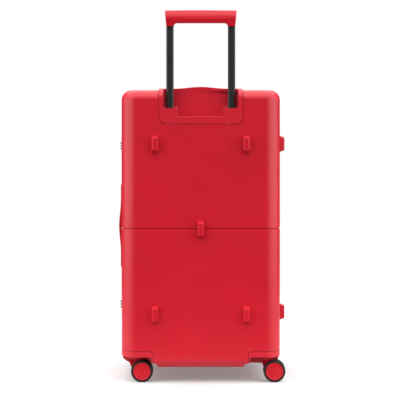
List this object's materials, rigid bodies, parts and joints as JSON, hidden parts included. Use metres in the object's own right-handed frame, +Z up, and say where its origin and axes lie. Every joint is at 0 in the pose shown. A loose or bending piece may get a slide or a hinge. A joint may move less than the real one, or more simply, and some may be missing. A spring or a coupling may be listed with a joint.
{
  "type": "hard shell suitcase",
  "caption": "Upright hard-shell suitcase in two hinged halves with a telescopic grip let into the back, twin-wheel swivel casters, carry handles, combination locks and standing feet.",
  "frame": {"origin": "on the floor below the middle of the object's outer box", "axes": "+Z up, -Y out of the back face where the trolley handle is, +Y out of the lid, +X to the hinge side and -X to the lock side"},
  "size_m": [0.425, 0.374, 0.9342],
  "materials": {
    "shell_red": "fine satin textured polycarbonate shell, red",
    "foot_red": "smooth moulded plastic standing feet, red",
    "trim_red": "satin moulded plastic trim, a lighter red",
    "grip_red": "satin moulded grip, red",
    "handle_red": "satin moulded carry handles, red",
    "fork_red": "moulded caster fork, red",
    "hub_red": "moulded wheel hub, red",
    "tyre_black": "soft black tyre rubber",
    "tube_black": "matte black coated aluminium tube",
    "guide_aluminium": "plain aluminium guide tube",
    "rim_aluminium": "anodised frame profile, grey",
    "seal_rubber": "black rubber seal",
    "hinge_steel": "steel hinge pin",
    "lock_metal": "satin grey lock case and lever",
    "dial_metal": "grey knurled number dials"
  },
  "bodies": {
    "base": {"base_shell": "shell_red", "base_rim": "rim_aluminium", "rim_seal": "seal_rubber", "hinge_pin": "hinge_steel", "trolley_well": "trim_red", "guide_tube_left": "guide_aluminium", "guide_tube_right": "guide_aluminium", "back_foot_middle": "foot_red", "back_foot_upper_left": "foot_red", "back_foot_upper_right": "foot_red", "back_foot_lower_left": "foot_red", "back_foot_lower_right": "foot_red", "base_side_foot_upper": "foot_red", "base_side_foot_lower": "foot_red", "wheel_housing_back_left": "trim_red", "wheel_housing_back_right": "trim_red", "top_handle_mount": "handle_red", "side_handle_mount": "handle_red", "lock_body_upper": "lock_metal", "lock_body_lower": "lock_metal"},
    "lid": {"lid_shell": "shell_red", "lid_rim": "rim_aluminium", "lid_side_foot_upper": "foot_red", "lid_side_foot_lower": "foot_red", "wheel_housing_front_left": "trim_red", "wheel_housing_front_right": "trim_red"},
    "trolley": {"trolley_tube_left": "tube_black", "trolley_tube_right": "tube_black", "trolley_grip": "grip_red"},
    "grip_button": {"grip_button": "grip_red"},
    "top_handle": {"top_handle": "handle_red"},
    "side_handle": {"side_handle": "handle_red"},
    "latch_lever_upper": {"latch_lever_upper": "lock_metal"},
    "dial_upper_1": {"dial_upper_1": "dial_metal"},
    "dial_upper_2": {"dial_upper_2": "dial_metal"},
    "dial_upper_3": {"dial_upper_3": "dial_metal"},
    "latch_lever_lower": {"latch_lever_lower": "lock_metal"},
    "dial_lower_1": {"dial_lower_1": "dial_metal"},
    "dial_lower_2": {"dial_lower_2": "dial_metal"},
    "dial_lower_3": {"dial_lower_3": "dial_metal"},
    "caster_back_left": {"fork_back_left": "fork_red"},
    "wheel_back_left_a": {"tyre_back_left_a": "tyre_black", "hub_back_left_a": "hub_red"},
    "wheel_back_left_b": {"tyre_back_left_b": "tyre_black", "hub_back_left_b": "hub_red"},
    "caster_back_right": {"fork_back_right": "fork_red"},
    "wheel_back_right_a": {"tyre_back_right_a": "tyre_black", "hub_back_right_a": "hub_red"},
    "wheel_back_right_b": {"tyre_back_right_b": "tyre_black", "hub_back_right_b": "hub_red"},
    "caster_front_left": {"fork_front_left": "fork_red"},
    "wheel_front_left_a": {"tyre_front_left_a": "tyre_black", "hub_front_left_a": "hub_red"},
    "wheel_front_left_b": {"tyre_front_left_b": "tyre_black", "hub_front_left_b": "hub_red"},
    "caster_front_right": {"fork_front_right": "fork_red"},
    "wheel_front_right_a": {"tyre_front_right_a": "tyre_black", "hub_front_right_a": "hub_red"},
    "wheel_front_right_b": {"tyre_front_right_b": "tyre_black", "hub_front_right_b": "hub_red"}
  },
  "joints": [
    {"name": "lid_hinge", "type": "hinge", "parent": "base", "child": "lid", "pos_m": [0.2035, 0.007, 0.3855], "axis": [0, 0, -1], "range_deg": [0, 160]},
    {"name": "trolley_slide", "type": "slide", "parent": "base", "child": "trolley", "axis": [0, 0, 1], "range_m": [-0.2, 0.1]},
    {"name": "button_press", "type": "slide", "parent": "trolley", "child": "grip_button", "axis": [0, 0, -1], "range_m": [0, 0.003], "stiffness_N_per_m": 800},
    {"name": "top_handle_pull", "type": "slide", "parent": "base", "child": "top_handle", "axis": [0, 0, 1], "range_m": [0, 0.015], "stiffness_N_per_m": 120},
    {"name": "side_handle_pull", "type": "slide", "parent": "base", "child": "side_handle", "axis": [-1, 0, 0], "range_m": [0, 0.015], "stiffness_N_per_m": 120},
    {"name": "latch_upper", "type": "hinge", "parent": "base", "child": "latch_lever_upper", "pos_m": [-0.2038, -0.011, 0.56875], "axis": [0, 0, 1], "range_deg": [0, 100]},
    {"name": "dial_upper_1_turn", "type": "hinge", "parent": "base", "child": "dial_upper_1", "pos_m": [-0.2054, -0.0064, 0.5851], "axis": [0, 0, 1], "continuous": true},
    {"name": "dial_upper_2_turn", "type": "hinge", "parent": "base", "child": "dial_upper_2", "pos_m": [-0.2054, -0.0064, 0.5925], "axis": [0, 0, 1], "continuous": true},
    {"name": "dial_upper_3_turn", "type": "hinge", "parent": "base", "child": "dial_upper_3", "pos_m": [-0.2054, -0.0064, 0.5999], "axis": [0, 0, 1], "continuous": true},
    {"name": "latch_lower", "type": "hinge", "parent": "base", "child": "latch_lever_lower", "pos_m": [-0.2038, -0.011, 0.20225], "axis": [0, 0, 1], "range_deg": [0, 100]},
    {"name": "dial_lower_1_turn", "type": "hinge", "parent": "base", "child": "dial_lower_1", "pos_m": [-0.2054, -0.0064, 0.1711], "axis": [0, 0, 1], "continuous": true},
    {"name": "dial_lower_2_turn", "type": "hinge", "parent": "base", "child": "dial_lower_2", "pos_m": [-0.2054, -0.0064, 0.1785], "axis": [0, 0, 1], "continuous": true},
    {"name": "dial_lower_3_turn", "type": "hinge", "parent": "base", "child": "dial_lower_3", "pos_m": [-0.2054, -0.0064, 0.1859], "axis": [0, 0, 1], "continuous": true},
    {"name": "swivel_back_left", "type": "hinge", "parent": "base", "child": "caster_back_left", "pos_m": [-0.1666, -0.141, 0.0645], "axis": [0, 0, 1], "continuous": true},
    {"name": "roll_back_left_a", "type": "hinge", "parent": "caster_back_left", "child": "wheel_back_left_a", "pos_m": [-0.1478, -0.141, 0.02756], "axis": [0, 1, 0], "continuous": true},
    {"name": "roll_back_left_b", "type": "hinge", "parent": "caster_back_left", "child": "wheel_back_left_b", "pos_m": [-0.1478, -0.141, 0.02756], "axis": [0, 1, 0], "continuous": true},
    {"name": "swivel_back_right", "type": "hinge", "parent": "base", "child": "caster_back_right", "pos_m": [0.1666, -0.141, 0.0645], "axis": [0, 0, 1], "continuous": true},
    {"name": "roll_back_right_a", "type": "hinge", "parent": "caster_back_right", "child": "wheel_back_right_a", "pos_m": [0.1854, -0.141, 0.02756], "axis": [0, 1, 0], "continuous": true},
    {"name": "roll_back_right_b", "type": "hinge", "parent": "caster_back_right", "child": "wheel_back_right_b", "pos_m": [0.1854, -0.141, 0.02756], "axis": [0, 1, 0], "continuous": true},
    {"name": "swivel_front_left", "type": "hinge", "parent": "lid", "child": "caster_front_left", "pos_m": [-0.1666, 0.155, 0.0645], "axis": [0, 0, 1], "continuous": true},
    {"name": "roll_front_left_a", "type": "hinge", "parent": "caster_front_left", "child": "wheel_front_left_a", "pos_m": [-0.1478, 0.155, 0.02756], "axis": [0, 1, 0], "continuous": true},
    {"name": "roll_front_left_b", "type": "hinge", "parent": "caster_front_left", "child": "wheel_front_left_b", "pos_m": [-0.1478, 0.155, 0.02756], "axis": [0, 1, 0], "continuous": true},
    {"name": "swivel_front_right", "type": "hinge", "parent": "lid", "child": "caster_front_right", "pos_m": [0.1666, 0.155, 0.0645], "axis": [0, 0, 1], "continuous": true},
    {"name": "roll_front_right_a", "type": "hinge", "parent": "caster_front_right", "child": "wheel_front_right_a", "pos_m": [0.1854, 0.155, 0.02756], "axis": [0, 1, 0], "continuous": true},
    {"name": "roll_front_right_b", "type": "hinge", "parent": "caster_front_right", "child": "wheel_front_right_b", "pos_m": [0.1854, 0.155, 0.02756], "axis": [0, 1, 0], "continuous": true}
  ]
}
